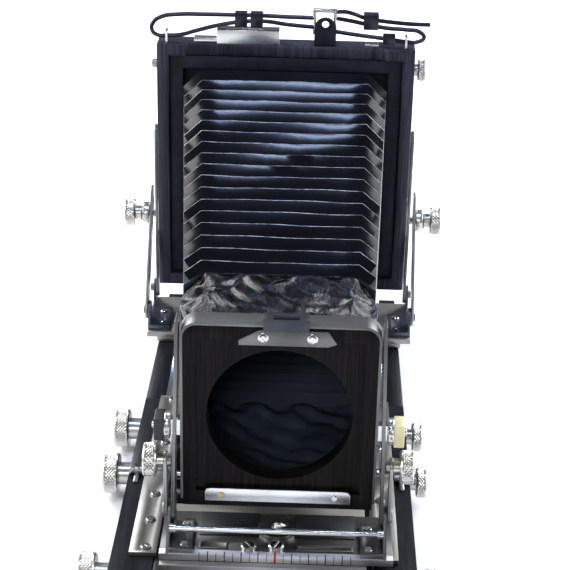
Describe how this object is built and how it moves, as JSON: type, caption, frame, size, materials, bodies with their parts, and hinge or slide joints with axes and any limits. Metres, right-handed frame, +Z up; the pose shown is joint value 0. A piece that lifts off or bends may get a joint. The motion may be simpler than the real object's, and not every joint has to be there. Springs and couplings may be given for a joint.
{
  "type": "view camera",
  "caption": "Folding wooden view camera with metal fittings, pleated leather bellows, geared focus at both ends and tilting, swinging, shifting standards.",
  "frame": {"origin": "centre of the tripod socket's mouth in the flat underside of the bed", "axes": "+Y from the lens end to the ground glass, +Z up, +X to the right seen from in front of the lens"},
  "size_m": [0.2438, 0.471, 0.28],
  "materials": {
    "ebony": "oiled satin",
    "ebony_panel": "oiled satin",
    "ebony_frame": "oiled satin",
    "brass": "satin",
    "brass_screws": "satin",
    "titanium_plate": "satin",
    "titanium": "satin",
    "titanium_dark": "satin",
    "titanium_bright": "brushed",
    "anodised_dark": "satin",
    "polished_steel": "polished",
    "knurled_metal": "diamond knurled",
    "black_nylon": "matt",
    "cream_nylon": "matt",
    "black_metal": "satin",
    "bellows_leather": "glossy grained",
    "bag_leather": "glossy crumpled",
    "strap_leather": "satin",
    "ground_glass": "ground"
  },
  "bodies": {
    "bed": {"base_box": "ebony", "rear_rails": "ebony", "tripod_bush": "brass", "rear_guide_plates": "titanium_plate", "bed_bushes": "brass", "bed_hinge": "titanium"},
    "front_bed": {"flap_rails": "ebony", "front_guide_plates": "titanium_plate", "flap_hinge": "titanium"},
    "front_rack": {"front_runners": "ebony", "front_racks": "brass", "carriage_plate": "titanium_plate"},
    "shift_block": {"swing_pivot": "polished_steel"},
    "front_base": {"swing_plate": "titanium_plate", "foot_brackets": "titanium_dark", "cross_bar": "polished_steel"},
    "front_yoke": {"front_uprights": "titanium_dark", "front_struts": "titanium"},
    "rise_block": {"axis_studs": "polished_steel"},
    "rise_lock_left": {"rise_lock_left": "black_nylon"},
    "rise_lock_right": {"rise_lock_right": "cream_nylon"},
    "front_tilt_knob_left": {"front_tilt_knob_left": "knurled_metal"},
    "front_tilt_knob_right": {"front_tilt_knob_right": "knurled_metal"},
    "lens_frame": {"lens_frame": "ebony_panel", "frame_band": "titanium", "board_lock_plate": "titanium", "name_plate": "titanium_bright", "plate_screws": "brass_screws", "front_bellows_frame": "black_metal", "bellows_bag": "bag_leather"},
    "board_slider": {"board_lock_slider": "anodised_dark"},
    "front_shaft": {"front_focus_shaft": "polished_steel", "front_focus_knob": "knurled_metal"},
    "front_lock": {"front_lock_knob": "knurled_metal"},
    "rear_shaft": {"rear_focus_shaft": "polished_steel", "rear_focus_knob": "knurled_metal"},
    "rear_lock": {"rear_lock_knob": "knurled_metal"},
    "lock_rod": {"bed_lock_rod": "knurled_metal"},
    "rear_carriage": {"rear_racks": "polished_steel", "rear_lower_plate": "titanium_plate", "rear_base_plate": "titanium_plate", "rear_feet": "anodised_dark"},
    "rear_brace": {"rear_braces": "titanium"},
    "rear_yoke": {"rear_arms": "titanium_dark"},
    "rear_frame": {"rear_frame": "ebony_frame", "side_bosses": "titanium", "rear_bellows_frame": "black_metal", "strap_lugs": "polished_steel", "latch_block": "titanium", "catch_tab": "black_metal", "strap": "strap_leather", "strap_fittings": "strap_leather", "back_frame": "ebony", "back_springs": "polished_steel", "bellows_pleats": "bellows_leather"},
    "rear_knob_left": {"rear_knob_left": "knurled_metal"},
    "rear_knob_right": {"rear_knob_right": "knurled_metal"},
    "frame_knob": {"frame_knob": "knurled_metal"},
    "focusing_screen": {"glass_frame": "ebony", "ground_glass": "ground_glass"}
  },
  "joints": [
    {"name": "front_bed_fold", "type": "hinge", "parent": "bed", "child": "front_bed", "pos_m": [0, -0.051, 0.0325], "axis": [-1, 0, 0], "range_deg": [0, 90]},
    {"name": "front_focus", "type": "slide", "parent": "front_bed", "child": "front_rack", "axis": [0, -1, 0], "range_m": [-0.02, 0.06], "deforming": ["bellows_bag"]},
    {"name": "front_shift", "type": "slide", "parent": "front_rack", "child": "shift_block", "axis": [1, 0, 0], "range_m": [-0.0375, 0.0225]},
    {"name": "front_swing", "type": "hinge", "parent": "shift_block", "child": "front_base", "pos_m": [0.0075, -0.125, 0], "axis": [0, 0, 1], "range_deg": [-12, 12]},
    {"name": "front_base_tilt", "type": "hinge", "parent": "front_base", "child": "front_yoke", "pos_m": [0, -0.1325, 0.0558], "axis": [1, 0, 0], "range_deg": [-10, 15]},
    {"name": "front_rise", "type": "slide", "parent": "front_yoke", "child": "rise_block", "axis": [0, 0, 1], "range_m": [-0.003, 0.035]},
    {"name": "front_axis_tilt", "type": "hinge", "parent": "rise_block", "child": "lens_frame", "pos_m": [0, -0.1325, 0.1135], "axis": [1, 0, 0], "range_deg": [-15, 15]},
    {"name": "rise_lock_left_turn", "type": "hinge", "parent": "rise_block", "child": "rise_lock_left", "pos_m": [0, -0.1325, 0.1135], "axis": [1, 0, 0], "range_deg": [0, 180]},
    {"name": "rise_lock_right_turn", "type": "hinge", "parent": "rise_block", "child": "rise_lock_right", "pos_m": [0, -0.1325, 0.1135], "axis": [1, 0, 0], "range_deg": [0, 180]},
    {"name": "front_tilt_knob_left_turn", "type": "hinge", "parent": "front_yoke", "child": "front_tilt_knob_left", "pos_m": [0, -0.1325, 0.0898], "axis": [1, 0, 0], "range_deg": [0, 180]},
    {"name": "front_tilt_knob_right_turn", "type": "hinge", "parent": "front_yoke", "child": "front_tilt_knob_right", "pos_m": [0, -0.1325, 0.0898], "axis": [1, 0, 0], "range_deg": [0, 180]},
    {"name": "board_lock_lift", "type": "slide", "parent": "lens_frame", "child": "board_slider", "axis": [0, 0, 1], "range_m": [0, 0.004]},
    {"name": "front_focus_turn", "type": "hinge", "parent": "front_bed", "child": "front_shaft", "pos_m": [0, -0.146, 0.016], "axis": [1, 0, 0], "range_deg": [-240, 700]},
    {"name": "front_lock_turn", "type": "hinge", "parent": "front_bed", "child": "front_lock", "pos_m": [0, -0.146, 0.016], "axis": [1, 0, 0], "range_deg": [0, 180]},
    {"name": "rear_focus", "type": "slide", "parent": "bed", "child": "rear_carriage", "axis": [0, 1, 0], "range_m": [-0.05, 0.015], "deforming": ["bellows_pleats"]},
    {"name": "rear_focus_turn", "type": "hinge", "parent": "bed", "child": "rear_shaft", "pos_m": [0, 0.033, 0.016], "axis": [1, 0, 0], "range_deg": [-180, 600]},
    {"name": "rear_lock_turn", "type": "hinge", "parent": "bed", "child": "rear_lock", "pos_m": [0, 0.033, 0.016], "axis": [1, 0, 0], "range_deg": [0, 180]},
    {"name": "bed_lock_turn", "type": "hinge", "parent": "bed", "child": "lock_rod", "pos_m": [0, -0.028, 0.016], "axis": [1, 0, 0], "range_deg": [0, 90]},
    {"name": "rear_base_tilt", "type": "hinge", "parent": "rear_carriage", "child": "rear_yoke", "pos_m": [0, 0.196, 0.0521], "axis": [1, 0, 0], "range_deg": [-10, 10]},
    {"name": "rear_brace_turn", "type": "hinge", "parent": "rear_carriage", "child": "rear_brace", "pos_m": [0, 0.154, 0.0521], "axis": [1, 0, 0], "range_deg": [-8, 8]},
    {"name": "rear_axis_tilt", "type": "hinge", "parent": "rear_yoke", "child": "rear_frame", "pos_m": [0, 0.196, 0.115], "axis": [1, 0, 0], "range_deg": [-8, 8]},
    {"name": "rear_knob_left_turn", "type": "hinge", "parent": "rear_frame", "child": "rear_knob_left", "pos_m": [0, 0.196, 0.115], "axis": [1, 0, 0], "range_deg": [0, 180]},
    {"name": "rear_knob_right_turn", "type": "hinge", "parent": "rear_frame", "child": "rear_knob_right", "pos_m": [0, 0.196, 0.115], "axis": [1, 0, 0], "range_deg": [0, 180]},
    {"name": "frame_knob_turn", "type": "hinge", "parent": "rear_frame", "child": "frame_knob", "pos_m": [0, 0.196, 0.235], "axis": [1, 0, 0], "range_deg": [0, 180]},
    {"name": "screen_lift", "type": "slide", "parent": "rear_frame", "child": "focusing_screen", "axis": [0, 1, 0], "range_m": [0, 0.012], "stiffness_N_per_m": 300, "springref_m": -0.006, "deforming": ["back_springs"]}
  ],
  "couplings": [
    {"joint": "front_focus_turn", "follows": "front_focus", "rad_per_m": 200},
    {"joint": "rear_focus_turn", "follows": "rear_focus", "rad_per_m": -200},
    {"joint": "rear_brace_turn", "follows": "rear_base_tilt", "ratio": 0.6916}
  ]
}
